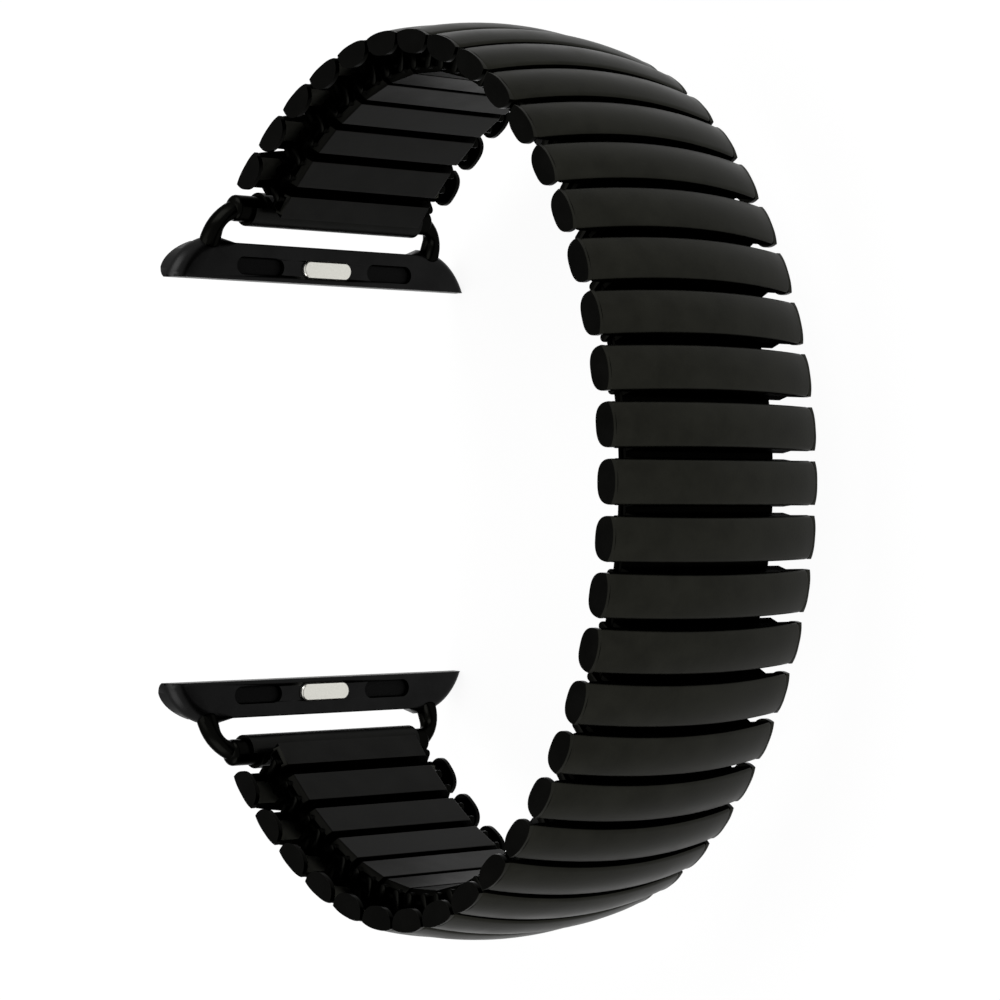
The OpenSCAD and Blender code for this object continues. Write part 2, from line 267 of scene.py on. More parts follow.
def piece(name, bm, place, materials, body, node, smooth=FOLDED):
    """Makes a mesh in millimetres a finished object at its place, and frees the mesh."""
    mesh = bpy.data.meshes.new(name)
    moved(bm, Matrix.Scale(MM, 4) @ place).to_mesh(mesh)
    bm.free()
    for material in materials:
        mesh.materials.append(material)
    mesh.shade_smooth()
    mesh.set_sharp_from_angle(angle=math.radians(smooth))
    made = bpy.data.objects.new(name, mesh)
    bpy.context.scene.collection.objects.link(made)
    even = made.modifiers.new("even", "WEIGHTED_NORMAL")
    even.keep_sharp = True
    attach(made, body)
    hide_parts(node)
    return made


def merged(*parts):
    """One mesh from parts: each a mesh, its place, and its material's number or None to keep its own."""
    joined = bmesh.new()
    for part, place, material in parts:
        copy = moved(part.copy(), place)
        if material is not None:
            for face in copy.faces:
                face.material_index = material
        mesh = bpy.data.meshes.new("part")
        copy.to_mesh(mesh)
        copy.free()
        joined.from_mesh(mesh)
        bpy.data.meshes.remove(mesh)
    return joined


def cut(bm, point, normal, remove=True):
    """Cuts a mesh along a plane, and may remove what lies on the side that the normal points to."""
    bmesh.ops.bisect_plane(
        bm, geom=bm.verts[:] + bm.edges[:] + bm.faces[:], plane_co=point, plane_no=normal, clear_outer=remove)


def bevelled(bm, edges, size, segments=2):
    """Rounds edges."""
    bmesh.ops.bevel(
        bm, geom=edges, offset=size, segments=segments, profile=0.5, affect="EDGES", material=-1,
        clamp_overlap=True)


def sharp_edges(bm, angle):
    """Edges whose two faces meet at more than an angle in degrees."""
    return [e for e in bm.edges if len(e.link_faces) == 2 and e.calc_face_angle(0) > math.radians(angle)]


def points(found):
    """The points among what an operator made."""
    return [one for one in found if isinstance(one, bmesh.types.BMVert)]


def thickened(bm, way):
    """Pulls a flat face along a vector into a closed prism."""
    made = bmesh.ops.extrude_face_region(bm, geom=bm.faces[:])["geom"]
    bmesh.ops.translate(bm, vec=way, verts=points(made))
    bmesh.ops.recalc_face_normals(bm, faces=bm.faces)


def outwards(bm, side=1):
    """Makes an open sheet's faces point outwards, judged by the one farthest to this side of X."""
    bmesh.ops.recalc_face_normals(bm, faces=bm.faces)
    farthest = max(bm.faces, key=lambda face: side * face.calc_center_median().x)
    if side * farthest.normal.x < 0:
        bmesh.ops.reverse_faces(bm, faces=bm.faces)


def arc_radius(half, rise):
    """Radius of an arc from half its chord and its rise."""
    return (half ** 2 + rise ** 2) / (2 * rise)


def round_ended(bm, long, high, filled, segments=32):
    """Outline with round ends in the plane X = 0, long along Z and high along Y. Gives its points."""
    made = bmesh.ops.create_circle(bm, cap_ends=filled, radius=high / 2, segments=segments)["verts"]
    # half a step of turn leaves no point between the two ends
    for angle, axis in ((90, "Y"), (180 / segments, "X")):
        turn = Matrix.Rotation(math.radians(angle), 3, axis)
        bmesh.ops.rotate(bm, verts=made, cent=(0, 0, 0), matrix=turn)
    for v in made:
        v.co.z += math.copysign((long - high) / 2, v.co.z)
    return made


def pill(long, high, deep, rim, rim_segments):
    """Prism with round ends and rounded rims: long along Z, high along Y, from X = 0 to deep."""
    bm = bmesh.new()
    round_ended(bm, long, high, True)
    thickened(bm, (deep, 0, 0))
    bevelled(bm, sharp_edges(bm, 50), rim, rim_segments)
    return bm


# Shells

# stretch at each side of the band over which a shell's ends curve in, and the radius of its corners
END_ZONE, CORNER_R = 1.5, 0.35
# how far a tab stays inside the outline of its shell, and its thickness behind the roll
TAB_INSET, TAB_DEEP = 0.02, 0.1
# power that makes a tab's outline from a circle, between an oval and a rectangle
TAB_POWER = 0.8
# spare lengths of the cover and of its walls, which are cut off
SPARE_END, SPARE_WALL = 0.4, 0.3
# strip along the long edges inside a cover that keeps the dull black plating: painted shade along the walls
PAINTED_SHADE_STRIP = 0.35


def end_tab(sizes):
    """Folded end of a shell: an oval tab whose edge rolls up into the crown."""
    half, crown, tab = sizes.shell_length / MM / 2 - TAB_INSET, sizes.crown / MM, sizes.tab / MM
    band, arch, roll = sizes.band_width / MM / 2, sizes.arch / MM, sizes.roll / MM
    arch_r = arc_radius(band, arch)
    rise = arch - arch_r + math.sqrt(arch_r ** 2 - (band - roll) ** 2) - TAB_INSET
    bm = bmesh.new()
    bmesh.ops.create_circle(bm, cap_ends=True, radius=1, segments=40)
    for v in bm.verts:
        x, y = v.co.x, v.co.y
        v.co.x = rise + crown * x * x if x > 0 else rise - (tab + rise) * abs(x) ** TAB_POWER
        v.co.y = half * math.copysign(abs(y) ** TAB_POWER, y)
    thickened(bm, (0, 0, roll + TAB_DEEP))
    rim = [e for e in sharp_edges(bm, 60) if all(v.co.z > roll for v in e.verts)]
    bevelled(bm, rim, roll, 4)
    # the strip of the roll next to the crown has the shell's own finish, and the rest of the tab the
    # near-black plating, painted shade
    for face in bm.faces:
        face.material_index = 0 if face.normal.x > 0.88 else 1
    bmesh.ops.translate(bm, vec=(0, 0, band - roll - TAB_DEEP), verts=bm.verts)
    bowed(bm, sizes)
    return bm


def bowed(bm, sizes):
    """Curves the shell's ends in a little between their corners."""
    half, near = sizes.shell_length / MM / 2, sizes.band_width / MM / 2 - END_ZONE
    for v in bm.verts:
        if abs(v.co.z) > near:
            share = (abs(v.co.z) - near) / END_ZONE * (1 - (v.co.y / half) ** 2)
            v.co.z -= math.copysign(max(share, 0) * sizes.bow / MM, v.co.z)


def cover_sheet(sizes):
    """Crowned, arched sheet with straight walls along both long edges, before its walls are trimmed."""
    band, long, roll = sizes.band_width / MM / 2, sizes.shell_length / MM / 2, sizes.roll / MM
    arch, crown, wall = sizes.arch / MM, sizes.crown / MM, sizes.wall / MM
    arch_r, crown_r = arc_radius(band, arch), arc_radius(long, crown)
    sweep, middle = math.asin((band + SPARE_END) / arch_r), (arch - arch_r, 0, 0)
    bm = bmesh.new()
    first = bmesh.ops.create_vert(bm, co=(arch, -long, 0))["vert"][0]
    bmesh.ops.spin(
        bm, geom=[first], cent=(arch + crown - crown_r, 0, 0), axis=(0, 0, 1),
        angle=2 * math.asin(long / crown_r), steps=10)
    bm.verts.ensure_lookup_table()
    ends = sorted(bm.verts, key=lambda v: v.co.y)
    for v in (ends[0], ends[-1]):
        foot = bmesh.ops.extrude_vert_indiv(bm, verts=[v])["verts"]
        bmesh.ops.translate(bm, vec=(-arch - wall - SPARE_WALL, 0, 0), verts=foot)
    bmesh.ops.rotate(bm, verts=bm.verts, cent=middle, matrix=Matrix.Rotation(sweep, 3, "Y"))
    bmesh.ops.spin(
        bm, geom=bm.verts[:] + bm.edges[:], cent=middle, axis=(0, 1, 0), angle=-2 * sweep, steps=24)
    bmesh.ops.remove_doubles(bm, verts=bm.verts, dist=1e-5)
    for side in (1, -1):
        cut(bm, (0, 0, side * (band - roll)), (0, 0, side))
    cut(bm, (-wall, 0, 0), (-1, 0, 0))
    outwards(bm)
    return bm


def cover_form(sizes):
    """Outer cover of a link, with its sheet's thickness. Its walls are only a rim beside the end tabs."""
    band, long, wall = sizes.band_width / MM / 2, sizes.shell_length / MM / 2, sizes.wall / MM
    rim, lean = sizes.rim / MM, sizes.lean / MM
    bm = cover_sheet(sizes)
    corner = [e for e in sharp_edges(bm, 40) if all(abs(abs(v.co.y) - long) < 0.02 for v in e.verts)]
    bevelled(bm, corner, sizes.edge / MM, 3)
    relief = web_end(bpy.context.scene.bracelet_sleeve)
    for x in (0, -rim):
        cut(bm, (x, 0, 0), (1, 0, 0), remove=False)
    for z in (relief, -relief, band - END_ZONE, END_ZONE - band):
        cut(bm, (0, 0, z), (0, 0, 1), remove=False)
    middles = [(face, face.calc_center_median()) for face in bm.faces]
    beside = [face for face, middle in middles if middle.x < -rim and abs(middle.z) > relief]
    bmesh.ops.delete(bm, geom=beside, context="FACES")
    for v in bm.verts:
        if v.co.x < 0:
            v.co.y += math.copysign(lean * v.co.x / wall, v.co.y)
    bowed(bm, sizes)
    cornered(bm, sizes)
    # walls facing along the band take the dull black plating: painted shade
    for face in bm.faces:
        face.material_index = 2 if abs(face.normal.y) > 0.9 else 0
    outside = set(bm.faces)
    bmesh.ops.solidify(bm, geom=bm.faces[:], thickness=sizes.sheet / MM)
    # once the sheet is thick, the crown's inner faces take painted light, and the rest of the inside, with
    # the strips along the walls, painted shade
    for face in bm.faces:
        if face not in outside:
            inner = face.normal.x < -0.5 and abs(face.calc_center_median().y) < long - PAINTED_SHADE_STRIP
            face.material_index = 3 if inner else 2
    return bm


def cornered(bm, sizes):
    """Rounds the shell's corners as seen from outside."""
    half, end = sizes.shell_length / MM / 2, (sizes.band_width / 2 - sizes.roll) / MM
    # cuts that the rounding bends at, closer towards the end
    for share in (1.0, 0.7, 0.45, 0.25, 0.1):
        for side in (-1, 1):
            cut(bm, (0, 0, side * (end - CORNER_R * share)), (0, 0, 1), remove=False)
    for v in bm.verts:
        past = min(max(abs(v.co.z) - (end - CORNER_R), 0), CORNER_R)
        share = max(1 - (half - abs(v.co.y)) / (2 * CORNER_R), 0)
        v.co.y -= math.copysign(share * (CORNER_R - math.sqrt(CORNER_R ** 2 - past ** 2)), v.co.y)


class BRACELET_OT_shells(Operator):
    """Makes the 35 outer shells of folded, black plated sheet"""

    bl_idname = "bracelet.shells"
    bl_label = "Outer shells"

    def execute(self, context):
        sizes = context.scene.bracelet_shell
        tab = end_tab(sizes)
        form = merged((cover_form(sizes), HERE, None), (tab, HERE, None), (tab, ACROSS, None))
        materials = [make(context) for make in (shell_plating, painted_shade_tab_plating, painted_shade_plating, painted_light_inside)]
        for link in links():
            name = "shell_%02d" % link.number
            piece(name, form.copy(), link.place, materials, link.body, link.node)
        return {"FINISHED"}


# Sleeves

# rounding of a sleeve's folds
FOLD_EDGE = 0.07


def sleeve_form(width, long, chamfer=0):
    """Folded sleeve, open at both ends, centred on its own middle."""
    bm = bmesh.new()
    bmesh.ops.create_cube(bm, size=1)
    bmesh.ops.scale(bm, vec=(SLEEVE_H, long, width), verts=bm.verts)
    if chamfer:
        wrist_side = [e for e in bm.edges if all(v.co.x < 0 for v in e.verts)]
        at_ends = [e for e in wrist_side if abs(e.verts[0].co.z - e.verts[1].co.z) < 1e-6]
        bevelled(bm, at_ends, chamfer, 1)
    mouths = [f for f in bm.faces if abs(f.normal.z) > 0.95]
    bmesh.ops.delete(bm, geom=mouths, context="FACES")
    bevelled(bm, sharp_edges(bm, 30), FOLD_EDGE)
    outwards(bm)
    bmesh.ops.solidify(bm, geom=bm.faces[:], thickness=SHEET)
    return bm


class BRACELET_OT_inner_sleeves(Operator):
    """Makes the 34 inner sleeves that lie on the wrist side, half a pitch out of step with the shells"""

    bl_idname = "bracelet.inner_sleeves"
    bl_label = "Inner sleeves"

    def execute(self, context):
        sizes = context.scene.bracelet_sleeve
        form = sleeve_form(sizes.width / MM, sizes.inner_length / MM, sizes.chamfer / MM)
        # faces turned towards the shells and the sleeve's ends take the dull black plating: painted shade
        for face in form.faces:
            face.material_index = 1 if face.normal.x > 0.5 or abs(face.normal.z) > 0.5 else 0
        materials = [sleeve_plating(context), painted_shade_plating(context)]
        sink = Matrix.Translation((-INNER_DEPTH, 0, 0))
        for link in links():
            if link.inner is not None:
                name = "inner_sleeve_%02d" % link.number
                piece(name, form.copy(), link.inner @ sink, materials, link.body, link.node)
        return {"FINISHED"}


# Staples, springs and hidden sleeves

# a staple's legs inside the sleeve, and its web: gap to the sleeve's mouth, thickness, margin, rounding
LEG_REACH, WEB_GAP, WEB_T, WEB_MARGIN, WEB_EDGE = 2.7, 0.06, 0.4, 0.02, 0.08
# a leaf spring's thickness, and the bare length of the sleeve past each of its ends
LEAF_T, LEAF_END = 0.12, 1.3


def web_end(sizes):
    """Where the staples' webs end, measured from the middle of the band."""
    return sizes.width / MM / 2 + WEB_GAP + WEB_T


def outer_long():
    """Length of the sleeve inside a shell, as long as the shell's leaning walls let it be."""
    shell = bpy.context.scene.bracelet_shell
    return (shell.shell_length - 2 * (shell.sheet + shell.lean)) / MM - 2 * FIT


def leg_off(long):
    """Distance of a staple leg from the middle of a sleeve of this length."""
    return long / 2 - SHEET - LEG / 2 - FIT


def leg_place(place, heading, off, depth):
    """Axis of a staple leg, off along the band and below the row."""
    return place + off * along(heading) - depth * along(heading - 90)


def staple(start, end, sizes):
    """Bent wire staple between two leg axes, at one side of the band, in the row's plane."""
    mouth, span, segments = sizes.width / MM / 2, end - start, 16
    web = bmesh.new()
    bmesh.ops.create_circle(web, cap_ends=True, radius=LEG / 2 + WEB_MARGIN, segments=segments)
    half_step = Matrix.Rotation(math.pi / segments, 3, "Z")
    bmesh.ops.rotate(web, verts=web.verts, cent=(0, 0, 0), matrix=half_step)
    for v in web.verts:
        if v.co.x > 0:
            v.co.x += span.length
    thickened(web, (0, 0, WEB_T))
    bevelled(web, sharp_edges(web, 60), WEB_EDGE)
    turn = Matrix.Rotation(math.atan2(span.y, span.x), 4, "Z")
    seat = Matrix.Translation((start.x, start.y, mouth + WEB_GAP)) @ turn
    leg, deep = bmesh.new(), LEG_REACH + WEB_GAP + WEB_T / 2
    bmesh.ops.create_cone(leg, cap_ends=True, segments=12, radius1=LEG / 2, radius2=LEG / 2, depth=deep)
    middle = mouth - LEG_REACH + deep / 2
    legs = [(leg, Matrix.Translation((at.x, at.y, middle)), 0) for at in (start, end)]
    return merged((web, seat, 0), *legs)


def staple_of(step, far, sizes):
    """Staple from the inner sleeve before a link to that link if far, or to the link before."""
    side = 1 if far else -1
    place, heading = CHAIN[step] if far else CHAIN[step - 1]
    outer = leg_place(place, heading, -side * leg_off(outer_long()), LEG_DEPTH)
    inner = leg_place(*halfway(step), side * leg_off(sizes.inner_length / MM), INNER_DEPTH)
    return staple(outer, inner, sizes)


def leaf(sizes):
    """Bowed leaf spring of a sleeve, as wide as the room between the staples' legs."""
    half = sizes.width / MM / 2 - LEAF_END
    wide = 2 * leg_off(outer_long()) - LEG - 2 * FIT
    radius = arc_radius(half, CAVITY - LEAF_T - 2 * FIT)
    sweep, top = math.asin(half / radius), CAVITY / 2 - FIT
    bm = bmesh.new()
    first, second = [bmesh.ops.create_vert(bm, co=(top, y, 0))["vert"][0] for y in (-wide / 2, wide / 2)]
    bm.edges.new((first, second))
    centre = (top - radius, 0, 0)
    bmesh.ops.rotate(bm, verts=bm.verts, cent=centre, matrix=Matrix.Rotation(sweep, 3, "Y"))
    bmesh.ops.spin(
        bm, geom=bm.verts[:] + bm.edges[:], cent=centre, axis=(0, 1, 0), angle=-2 * sweep, steps=10)
    outwards(bm)
    bmesh.ops.solidify(bm, geom=bm.faces[:], thickness=LEAF_T)
    return bm


class BRACELET_OT_works(Operator):
    """Makes the sleeves inside the shells, the staples that tie the two rows together and the leaf springs"""

    bl_idname = "bracelet.works"
    bl_label = "Sleeves, staples and springs"

    def execute(self, context):
        sizes = context.scene.bracelet_sleeve
        sleeve, spring = sleeve_form(sizes.width / MM, outer_long()), leaf(sizes)
        # the sleeves inside the shells take the dull black plating: painted shade
        materials = [painted_shade_plating(context), painted_shade_wire_steel(context), spring_steel(context)]
        for link in links():
            deep = link.place @ Matrix.Translation((-LEG_DEPTH, 0, 0))
            parts = [(sleeve, deep, 0), (spring, deep, 2)]
            if link.inner is not None:
                parts.append((spring, link.inner @ Matrix.Translation((-INNER_DEPTH, 0, 0)), 2))
                row = row_frame(link.lower)
                for far in (False, True):
                    one = staple_of(link.step, far, sizes)
                    parts += [(one, row, 1), (one, row @ ACROSS, 1)]
            piece("works_%02d" % link.number, merged(*parts), HERE, materials, link.body, link.node)
        return {"FINISHED"}


# End links

# rounding of the end link's sheet
WRAP_EDGE = 0.05


def whole(node):
    """A copy of a frame node in millimetres, merged to whole faces."""
    bm = bmesh.new()
    bm.from_mesh(frame["nodes"][node].data)
    bmesh.ops.transform(bm, matrix=Matrix.Scale(1 / MM, 4), verts=bm.verts)
    bmesh.ops.remove_doubles(bm, verts=bm.verts, dist=0.004)
    bmesh.ops.dissolve_limit(bm, angle_limit=math.radians(1), verts=bm.verts, edges=bm.edges)
    return bm


def softened(node, size, segments):
    """A copy of a frame node with its sharp edges rounded."""
    bm = whole(node)
    bevelled(bm, sharp_edges(bm, 30), size, segments)
    return bm


class BRACELET_OT_end_links(Operator):
    """Makes the two end links, whose sheet wraps round the connector's bar"""

    bl_idname = "bracelet.end_links"
    bl_label = "End links"

    def execute(self, context):
        sizes = context.scene.bracelet_sleeve
        plating, wire, steel = sleeve_plating(context), painted_shade_wire_steel(context), spring_steel(context)
        for side, lower in SIDES:
            body = "end_link_" + side
            wrap = softened(body, WRAP_EDGE, 2)
            # the wrap's faces across the band take the near-black wire plating: painted shade
            for face in wrap.faces:
                face.material_index = 1 if abs(face.normal.z) > 0.5 else 0
            piece("end_wrap_" + side, wrap, HERE, [plating, wire], body, body, MACHINED)
            one, row = staple_of(HALF + 1, False, sizes), row_frame(lower)
            wires = merged((one, row, 0), (one, row @ ACROSS, 0))
            piece("end_wires_" + side, wires, HERE, [wire], body, "end_staples_" + side)
            inner = at_place(END_PLACE, END_HEADING, lower) @ Matrix.Translation((-INNER_DEPTH, 0, 0))
            piece("end_leaf_" + side, leaf(sizes), inner, [steel], body, "end_spring_" + side)
        return {"FINISHED"}


# Connectors

# A connector's own frame has the bar along Z at the origin, Y pointing from it to the body, and X out
# of the ring. The front, with its windows, looks into the ring.
# offset of the front from the bar's axis, the slot between bar and body, and the body's height
BAR_OFFSET, SLOT_H, SLOT_WIDE, SLOT_CORNER, BODY_H = 0.5, 2.4, 19.4, 0.5, 2.65
# shoulder arcs of the body: their radius, how far past its foot their middle lies, and how far they
# would reach past its tip
SHOULDER_R, SHOULDER_SINK, SHOULDER_OVER = 4.65, 1.55, 0.35
# stretches of the straight edges over which the wide roll of the shoulders runs out
TOP_RUN, NOSE_RUN, FOOT_RUN = 1.2, 0.12, 1.0
# depth over which the front is shaped here; behind it the body is the frame's own
FRONT_DEPTH = 1.0
# steps of the roll from the flat front to the walls
ROLL_STEPS = 6
# windows: how far past the body's middle they lie, the middle one's size, and the length and distance
# of those at its sides
WINDOW_PAST, WINDOW_LONG, WINDOW_HIGH = 0.28, 4.56, 1.3
SIDE_WINDOW_LONG, WINDOW_STEP = 4.35, 6.12
WINDOW_AT = SLOT_H + BODY_H / 2 + WINDOW_PAST
# depths of the wall in front of a catch's flange, of the middle window and of the pads' faces, and the
# pads' thickness
FACE_WALL, CATCH_WINDOW, PAD_RECESS, PAD_T = 0.4, 0.42, 0.3, 0.3
# arms: their tilt in degrees, and the end of the bar's straight part
ARM_TILT, BAR_END = 22, 8.9
# round root of an arm inside the body: depth past the slot's floor, and share of the arm's thickness
ARM_ROOT = ((0.45, 0.2), (0.38, 0.55), (0.22, 0.85), (0.05, 1.0))
ARM_STEPS = 12


def bar_frame(lower):
    """Frame of the connector at one end of the band."""
    return at_place(BAR_PLACE, 270, lower)


def front_ring(bm, sizes, part):
    """One loop round the body's front, from the flat face's outline (part = 0) to the walls (part = 1)."""
    before = set(bm.verts)
    turn = math.radians(90 * part)
    small, large = [size / MM * (1 - math.sin(turn)) for size in (sizes.edge, sizes.nose)]
    near, far = [size / MM * (1 - math.cos(turn)) for size in (sizes.edge, sizes.nose)]
    tip = sizes.long / MM / 2
    at = tip - SHOULDER_R + SHOULDER_OVER
    centre, radius = SLOT_H + BODY_H + SHOULDER_SINK, SHOULDER_R - large
    top, low = SLOT_H + small, SLOT_H + BODY_H - small
    first = bmesh.ops.create_vert(bm, co=(far, centre - radius, at))["vert"][0]
    # the arc ends at the body's foot, or at its tip if that comes first
    sweep = min(math.acos((centre - low) / radius), math.asin(min((tip - at) / radius, 1)))
    bmesh.ops.spin(bm, geom=[first], cent=(far, centre, at), axis=(1, 0, 0), angle=-sweep, steps=14)
    last = max((v for v in bm.verts if v not in before), key=lambda v: v.co.z)
    end = last.co.z
    to_top = ((near, top, at - TOP_RUN), (near, top, 0))
    to_foot = (((near + far) / 2, low, end - NOSE_RUN), (near, low, end - FOOT_RUN), (near, low, 0))
    for start, places in ((first, to_top), (last, to_foot)):
        for place in places:
            start = bmesh.ops.extrude_vert_indiv(bm, verts=[start])["verts"][0]
            start.co = place
    half = [v for v in bm.verts if v not in before]
    geom = half + list({e for v in half for e in v.link_edges})
    bmesh.ops.mirror(bm, geom=geom, matrix=Matrix.Identity(4), merge_dist=1e-4, axis="Z")
    return list({e for v in bm.verts if v not in before for e in v.link_edges})


def window_ring(bm, wide, at):
    """Outline of one window in the front."""
    made = round_ended(bm, wide, WINDOW_HIGH, False)
    bmesh.ops.translate(bm, verts=made, vec=(0, WINDOW_AT, at))
    return list({e for v in made for e in v.link_edges})


def deepened(bm, edges, depth):
    """Walls that run straight back from a loop, down to one depth."""
    for v in points(bmesh.ops.extrude_edge_only(bm, edges=edges)["geom"]):
        v.co.x = depth


def body_front(sizes):
    """Front of a connector's body: a flat face with three windows, rolled back along the shoulders."""
    bm = bmesh.new()
    rings = [front_ring(bm, sizes, step / ROLL_STEPS) for step in range(ROLL_STEPS + 1)]
    windows = [window_ring(bm, WINDOW_LONG, 0)]
    windows += [window_ring(bm, SIDE_WINDOW_LONG, at) for at in (WINDOW_STEP, -WINDOW_STEP)]
    for one, other in zip(rings, rings[1:]):
        bmesh.ops.bridge_loops(bm, edges=one + other)
    deepened(bm, rings[-1], FRONT_DEPTH)
    bmesh.ops.triangle_fill(bm, edges=sum(windows, rings[0]), use_beauty=True)
    for ring, depth in zip(windows, (CATCH_WINDOW, PAD_RECESS + PAD_T, PAD_RECESS + PAD_T)):
        deepened(bm, ring, depth)
    outwards(bm, -1)
    bmesh.ops.translate(bm, verts=bm.verts, vec=(BAR_OFFSET, 0, 0))
    return bm


def body_back(side, place):
    """Back of a connector's body, without its arms, from the frame's node."""
    bm = moved(whole("connector_" + side), place.inverted())
    cut(bm, (0, SLOT_H - 0.001, 0), (0, -1, 0))
    bmesh.ops.holes_fill(bm, edges=[e for e in bm.edges if e.is_boundary], sides=0)
    cut(bm, (BAR_OFFSET + FRONT_DEPTH, 0, 0), (-1, 0, 0))
    return bm


def arm_sections(sizes):
    """Rings of an arm, each as the frame that a unit circle in XY is laid in."""
    outer, corner = sizes.arms / MM / 2, sizes.corner / MM
    bar, thick = sizes.bar / MM / 2, sizes.arm / MM / 2
    root = SLOT_H / math.cos(math.radians(ARM_TILT))
    pairs = []
    for deep, share in ARM_ROOT:
        less = thick * (1 - share)
        far, near = Vector((outer - less, root + deep)), Vector((SLOT_WIDE / 2 + less, root + deep))
        pairs.append((far, near, share))
    outer_corner = Vector((outer - corner, corner - bar))
    inner_corner = Vector((SLOT_WIDE / 2 - SLOT_CORNER, bar + SLOT_CORNER))
    for step in range(ARM_STEPS + 1):
        turn = math.pi / 2 * step / ARM_STEPS
        swing = Vector((math.cos(turn), -math.sin(turn)))
        pairs.append((outer_corner + corner * swing, inner_corner + SLOT_CORNER * swing, 1.0))
    for far, near, share in pairs:
        middle, reach = (far + near) / 2, (far - near) / 2
        yield Matrix((
            (0, thick * share, 0, 0),
            (reach.y, 0, reach.x, middle.y),
            (reach.x, 0, -reach.y, middle.x),
            (0, 0, 0, 1)))


def arm(sizes):
    """One arm: a tube from inside the body, bent round the slot's corner into the bar."""
    bm = bmesh.new()
    last = None
    for section in arm_sections(sizes):
        if last is None:
            bmesh.ops.create_circle(bm, cap_ends=True, radius=1, segments=20, matrix=section)
            edges = bm.edges[:]
        else:
            made = bmesh.ops.extrude_edge_only(bm, edges=edges)["geom"]
            ring = points(made)
            bmesh.ops.transform(bm, matrix=section @ last.inverted(), verts=ring)
            found = [one for one in made if isinstance(one, bmesh.types.BMEdge)]
            edges = [e for e in found if all(v in ring for v in e.verts)]
        last = section
    bmesh.ops.holes_fill(bm, edges=edges, sides=0)
    bmesh.ops.recalc_face_normals(bm, faces=bm.faces)
    tilt = Matrix.Rotation(math.radians(-ARM_TILT), 3, "Z")
    bmesh.ops.rotate(bm, verts=bm.verts, cent=(0, 0, 0), matrix=tilt)
    return bm


def bar_rod(sizes):
    """Round bar whose flattened ends lie inside the arms."""
    radius = sizes.bar / MM / 2
    bm = bmesh.new()
    bmesh.ops.create_cone(bm, cap_ends=False, segments=32, radius1=radius, radius2=radius, depth=2 * BAR_END)
    for side in (-1, 1):
        ball = bmesh.ops.create_uvsphere(bm, u_segments=32, v_segments=12, radius=radius)["verts"]
        bmesh.ops.scale(bm, verts=ball, vec=(1, 1, 0.5))
        bmesh.ops.translate(bm, verts=ball, vec=(0, 0, side * BAR_END))
    return bm


class BRACELET_OT_connectors(Operator):
    """Makes the two connectors: the slide-in body, and the arms and bar that the end link turns on"""

    bl_idname = "bracelet.connectors"
    bl_label = "Connectors"

    def execute(self, context):
        sizes = context.scene.bracelet_connector
        # arms and bar take the near-black wire plating: painted shade against the body's plating
        materials = [connector_plating(context), painted_shade_wire_steel(context)]
        front, limb, rod = body_front(sizes), arm(sizes), bar_rod(sizes)
        for side, lower in SIDES:
            place, body = bar_frame(lower), "connector_" + side
            bm = merged(
                (front, place, 0), (body_back(side, place), place, 0),
                (limb, place, 1), (limb, place @ ACROSS, 1), (rod, place, 1))
            piece("connector_body_" + side, bm, HERE, materials, body, body, MACHINED)
        return {"FINISHED"}


# Catches and pads

# a catch's reach in front of the body and its travel, and its flange behind the window
CATCH_PROUD, CATCH_TRAVEL, FLANGE, FLANGE_T = 0.25, 0.3, 0.2, 0.35
# rounding of the catch's button, of its flange, of the pads, and of the small parts in the pocket
BUTTON_EDGE, FLANGE_EDGE, PAD_EDGE, POCKET_EDGE = 0.14, 0.05, 0.1, 0.03


def catch_form(place):
    """Catch of the connector at this place: a button with a flange that keeps it in its window."""
    long, high = WINDOW_LONG - 2 * FIT, WINDOW_HIGH - 2 * FIT
    button = pill(long, high, CATCH_PROUD + FACE_WALL + FLANGE_T / 2, BUTTON_EDGE, 3)
    flange = pill(long + 2 * FLANGE, high + 2 * FLANGE, FLANGE_T - FIT, FLANGE_EDGE, 1)
    front = place @ Matrix.Translation((BAR_OFFSET - CATCH_PROUD, WINDOW_AT, 0))
    behind = place @ Matrix.Translation((BAR_OFFSET + FACE_WALL + FIT, WINDOW_AT, 0))
    return merged((button, front, 0), (flange, behind, 0))


def pads_form():
    """Two pads at the bottom of the side windows, in the connector's frame."""
    pad = pill(SIDE_WINDOW_LONG - 2 * FIT, WINDOW_HIGH - 2 * FIT, PAD_T, PAD_EDGE, 2)
    seats = [(BAR_OFFSET + PAD_RECESS, WINDOW_AT, at) for at in (-WINDOW_STEP, WINDOW_STEP)]
    return merged(*[(pad, Matrix.Translation(seat), 0) for seat in seats])


class BRACELET_OT_catches(Operator):
    """Makes the bright sprung catches, their leaf springs and plugs, and the dark side pads"""

    bl_idname = "bracelet.catches"
    bl_label = "Catches and pads"

    def execute(self, context):
        steel, rubber = [bright_steel(context)], [pad_rubber(context)]
        strip, plating = [spring_steel(context)], [connector_plating(context)]
        for side, lower in SIDES:
            place, catch, body = bar_frame(lower), "catch_" + side, "connector_" + side
            pads, spring, plug = "side_pads_" + side, "catch_spring_" + side, "catch_plug_" + side
            button = catch_form(place)
            piece("catch_button_" + side, button, HERE, steel, catch, catch, MACHINED)
            piece("window_pads_" + side, pads_form(), place, rubber, body, pads, MACHINED)
            blade = softened(spring, POCKET_EDGE, 1)
            made = piece("pocket_spring_" + side, blade, HERE, strip, body, spring, MACHINED)
            # the leaf flattens against the plug as the catch goes in, which is not made here: the spring's
            # box is read and the leaf gets a mesh of its own
            low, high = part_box(spring)
            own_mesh(made)
            lid = softened(plug, POCKET_EDGE, 1)
            piece("pocket_plug_" + side, lid, HERE, plating, body, plug, MACHINED)
        return {"FINISHED"}


# Materials

# a colour Mix node's two inputs and its output, by their numbers
MIX_A, MIX_B, MIX_OUT = 6, 7, 2


